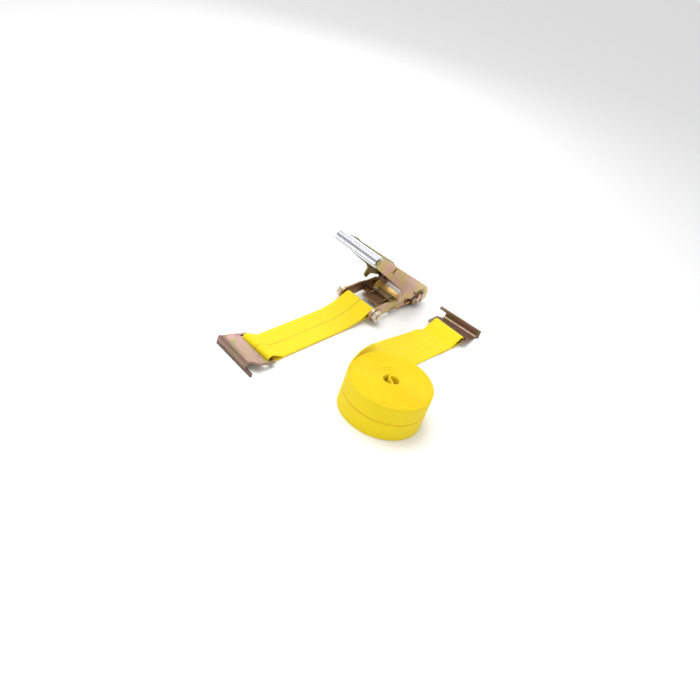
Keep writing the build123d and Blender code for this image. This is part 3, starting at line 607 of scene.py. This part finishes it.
def long_strap():
    """The long strap as one ply: wound, turned over, flat, round the hook's bar and back underneath."""
    centres, widths, thicks = [], [], []
    wound = wound_points()
    wound = inner_end(Vector(wound[0])) + wound
    for k, (x, y, z) in enumerate(wound):
        centres.append(place(x, y, z))
        widths.append(Vector((0, 0, 1)))
        thinned = min(1.0, (len(wound) - k) / THINNING_POINTS)
        thicks.append((THICK + (WOUND_THICK - THICK) * thinned) * MM)
    stations = tail_stations()
    last = len(stations) - 1
    rows_at = None
    for k in range(1, len(stations)):
        x, y, twist = stations[k]
        before, after = stations[k - 1], stations[min(k + 1, last)]
        heading = 0.0 if k == last else atan2(after[1] - before[1], after[0] - before[0])
        t = radians(twist)
        over = THICK * eased((x - SEWN_START + LAP_RAMP) / LAP_RAMP)
        z = WEB_HALF_MM * cos(t) + THICK / 2 * sin(t) + FLOOR_GAP + over
        side = Vector((-sin(heading), cos(heading), 0))
        if rows_at is None and x > ROWS_START:
            rows_at = len(centres)
        centres.append(place(x, y, z))
        widths.append(Vector((0, 0, 1)) * cos(t) + side * sin(t))
    root_at = len(centres) - 1
    low, high = FLOOR_GAP + THICK / 2, FLOOR_GAP + THICK * 1.5
    loop = loop_path((RIGHT_BAR_X + BAR_LOOP_SHIFT, BAR_LOOP_Z), BAR_LOOP_R,
                     (ROOT_X, low), (ROOT_X, high))
    profile = list(reversed(loop)) + [(SEWN_START, low)]
    for p in evenly([Vector((x, TAIL_Y, z)) for x, z in profile], PATH_STEP)[1:]:
        centres.append(place(*p))
        widths.append(Vector((0, 1, 0)))
    thicks += [THICK * MM * PRESSED] * (len(centres) - len(thicks))
    run = run_lengths(centres)
    return centres, widths, thicks, [(run[rows_at], run[root_at])]


centres, widths, thicks, rows = long_strap()
strap, strap_length = ribbon("long_strap", LONG_WEBBING, centres, widths, thicks, -1, rows)
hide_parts("long_strap_roll", "long_strap_tail", "long_strap_sewn_end")
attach(strap, "long_strap")
print("long strap length", round(strap_length, 3))

# ---------------------------------------------------------------- the short strap
LEFT_BAR_X = -126.0
BOLT_LOOP_R, BOLT_LOOP_LENGTH = 12.0, 48.0
RISE_R, RISE_ANGLE = 200.0, radians(14.0)
RISE_STEPS = 12
BOLT_X, BOLT_Z = (BOLT.x - SHIFT.x) / MM, BOLT.z / MM
SEAM_X, SEAM_HALF_GAP = 60.0, 0.6
ROWS_FROM_HOOK, ROWS_FROM_BOLT = 46, 50
SHORT_MAP_START = 20.0


def short_strap():
    """The short strap as one ply that meets itself in the middle of the underside."""
    mid = FLOOR_GAP + THICK
    rise_z = mid + RISE_R * (1 - cos(RISE_ANGLE))
    rise_x = BOLT_X - (BOLT_Z - rise_z) / tan(RISE_ANGLE) - RISE_R * sin(RISE_ANGLE)
    left_root = LEFT_BAR_X + BAR_LOOP_LENGTH - BAR_LOOP_SHIFT
    slope = (sin(RISE_ANGLE), cos(RISE_ANGLE))
    bolt_root = (BOLT_X - BOLT_LOOP_LENGTH * slope[1], BOLT_Z - BOLT_LOOP_LENGTH * slope[0])

    def ply(side):
        """Line of one ply from the left root to the bolt root; side is -1 below and 1 above."""
        off = side * THICK / 2
        points = [(left_root, mid + off), (rise_x, mid + off)]
        for k in range(1, RISE_STEPS + 1):
            a = RISE_ANGLE * k / RISE_STEPS
            r = RISE_R - off
            points.append((rise_x + r * sin(a), mid + RISE_R - r * cos(a)))
        points.append((bolt_root[0] - slope[0] * off, bolt_root[1] + slope[1] * off))
        return points

    low, high = ply(-1), ply(1)
    hook_loop = loop_path((LEFT_BAR_X - BAR_LOOP_SHIFT, BAR_LOOP_Z), BAR_LOOP_R, low[0], high[0])
    bolt_loop = loop_path((BOLT_X, BOLT_Z), BOLT_LOOP_R, low[-1], high[-1])
    start = (SEAM_X - SEAM_HALF_GAP, mid - THICK / 2)
    end = (SEAM_X + SEAM_HALF_GAP, mid - THICK / 2)
    return [start, *hook_loop, *high[1:-1], *reversed(bolt_loop), *reversed(low[1:-1]), end]


def rows_sewn(lengths, points):
    """Lengths (from, to) between which the short strap is sewn, clear of its two loops."""
    runs, run = [], None
    for length, p in zip(lengths, points):
        inside = LEFT_BAR_X + ROWS_FROM_HOOK < p.x < BOLT_X - ROWS_FROM_BOLT
        if inside and run is None:
            run = length
        if not inside and run is not None:
            runs.append((run, length))
            run = None
    if run is not None:
        runs.append((run, lengths[-1]))
    return runs


short_line = evenly([Vector((x, 0, z)) for x, z in short_strap()], PATH_STEP)
short_centres = [Vector((SHIFT.x, STRAP_Y, 0)) + p * MM for p in short_line]
short_count = len(short_centres)
short, short_length = ribbon(
    "short_strap_webbing", SHORT_WEBBING, short_centres, [Vector((0, 1, 0))] * short_count,
    [THICK * MM * SHORT_PRESSED] * short_count, 1,
    rows_sewn(run_lengths(short_centres), short_line), SHORT_MAP_START)
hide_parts("short_strap")
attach(short, "fixed_end_strap")
print("short strap length", round(short_length, 3))


# ---------------------------------------------------------------- springs
SPRING_R, SPRING_WIRE_R, SPRING_TURNS = 0.0043, 0.0007, 9
STEPS_A_COIL = 22
ROD_OFFSET = 24.0


def coil(name, start, end, radius, wire, turns, material):
    """A compression spring between two points, its coils closer at the ends."""
    axis = (end - start).normalized()
    side = Vector((0, 1, 0))
    up = axis.cross(side).normalized()
    length = (end - start).length - 2 * wire
    points = []
    steps = int(turns * STEPS_A_COIL)
    for k in range(steps + 1):
        share = k / steps
        along = wire + length * (0.04 * share + 0.96 * eased(share) * 0.25 + 0.96 * share * 0.75)
        along = min(along, wire + length)
        angle = 2 * pi * turns * share
        points.append(start + axis * along + side * cos(angle) * radius + up * sin(angle) * radius)
    return tube(name, points, wire, material)


def spring_pair(names, base, direction, up, height, start_at, end_at, replaced):
    """Two springs side by side on a pawl's rods, replacing one node. The three places are in mm."""
    for name, offset in zip(names, (-ROD_OFFSET, ROD_OFFSET)):
        a = base + direction * start_at * MM + up * height * MM + Vector((0, offset * MM, 0))
        b = base + direction * end_at * MM + up * height * MM + Vector((0, offset * MM, 0))
        spring = coil(name, a, b, SPRING_R, SPRING_WIRE_R, SPRING_TURNS, SPRING_WIRE)
        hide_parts(replaced)
        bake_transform(spring)


handle_way = Vector((cos(HANDLE_ANGLE), 0, sin(HANDLE_ANGLE)))
handle_up = Vector((sin(HANDLE_ANGLE), 0, -cos(HANDLE_ANGLE)))
frame_way = Vector((cos(FRAME_ANGLE), 0, sin(FRAME_ANGLE)))
frame_up = Vector((sin(FRAME_ANGLE), 0, -cos(FRAME_ANGLE)))
spring_pair(("drive_spring_near", "drive_spring_far"), HUB, handle_way, handle_up, 6.0, 96.0, 130.0,
            "drive_pawl_springs")
spring_pair(("lock_spring_near", "lock_spring_far"), HUB, frame_way, frame_up, -6.5, 72.0, 96.0,
            "lock_pawl_springs")

# ---------------------------------------------------------------- the metal parts
MATERIALS = {
    "handle_grip": SILVER, "spool_half_front": PINK, "spool_half_rear": PINK, "gear_near": RUSSET,
    "gear_far": RUSSET, "hub_washers": SHADED_OLIVE, "cotter_pin_near": CREAM, "cotter_pin_far": CREAM,
    "lock_pawl": GOLD_PAINTED_LIT, "bolt_washers": PINK, "strap_bolt": CREAM, "strap_bolt_nut": CREAM,
    "frame_cross_plate": RUSSET, "handle_cheek_far": SHADED_OLIVE, "drive_pawl": SHADED_OLIVE,
    "grip_rod": SHADED_OLIVE, "frame_plate_far": RUSSET, "flat_hook_left": HOOK,
    "flat_hook_right": HOOK}
SOFT = {"long_strap_roll", "long_strap_tail", "long_strap_sewn_end", "short_strap",
        "drive_pawl_springs", "lock_pawl_springs"}
WELD_REACH = 0.00001
SHEET_EDGE, SMALL_EDGE = 0.0007, 0.0004
SHARP_ANGLE = radians(35)
for name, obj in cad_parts.items():
    if name in SOFT:
        continue
    obj.data.materials.clear()
    obj.data.materials.append(MATERIALS.get(name, GOLD))
    weld = obj.modifiers.new("weld", "WELD")
    weld.merge_threshold = WELD_REACH
    bevel = obj.modifiers.new("soft_edges", "BEVEL")
    of_sheet = any(word in name for word in ("hook", "cheek", "plate"))
    bevel.width = SHEET_EDGE if of_sheet else SMALL_EDGE
    bevel.segments = 2
    bevel.limit_method = "ANGLE"
    bevel.angle_limit = SHARP_ANGLE
    bevel.harden_normals = True
    weighted = obj.modifiers.new("weighted", "WEIGHTED_NORMAL")
    weighted.keep_sharp = True

# ---------------------------------------------------------------- floor and light
floor_material = Nodes("floor")
grain = floor_material.noise(900.0, 3.0, 0.6)
floor_tint = floor_material.mix(grain, (0.90, 0.90, 0.90), (0.93, 0.93, 0.93))
floor_material.shade(Base_Color=floor_tint, Roughness=0.9, Specular_IOR_Level=0.1)
FLOOR_SIZE = 14
bpy.ops.mesh.primitive_plane_add(size=FLOOR_SIZE, location=(0, 0, 0))
floor_plane = bpy.context.object
floor_plane.name = "floor"
floor_plane.data.materials.append(floor_material.material)

world = bpy.data.worlds.new("studio")
world.use_nodes = True
WORLD_STRENGTH = 0.76
background = world.node_tree.nodes["Background"]
background.inputs["Color"].default_value = (1.0, 1.0, 1.0, 1.0)
background.inputs["Strength"].default_value = WORLD_STRENGTH
bpy.context.scene.world = world


def soft_light(name, where, target, size, power):
    """A square area light that faces a point."""
    data = bpy.data.lights.new(name, "AREA")
    data.shape = "SQUARE"
    data.size = size
    data.energy = power
    light = bpy.data.objects.new(name, data)
    bpy.context.scene.collection.objects.link(light)
    light.location = where
    light.rotation_euler = (Vector(where) - Vector(target)).to_track_quat("Z", "Y").to_euler()
    return light


key = soft_light("key", (-0.2, 0.5, 2.2), (0, 0, 0), 1.4, 34.0)
fill = soft_light("fill", (-1.8, -1.6, 1.5), (0, 0, 0), 1.8, 3.0)
rim = soft_light("rim", (1.5, 1.6, 1.2), (0, 0, 0.1), 1.0, 9.0)
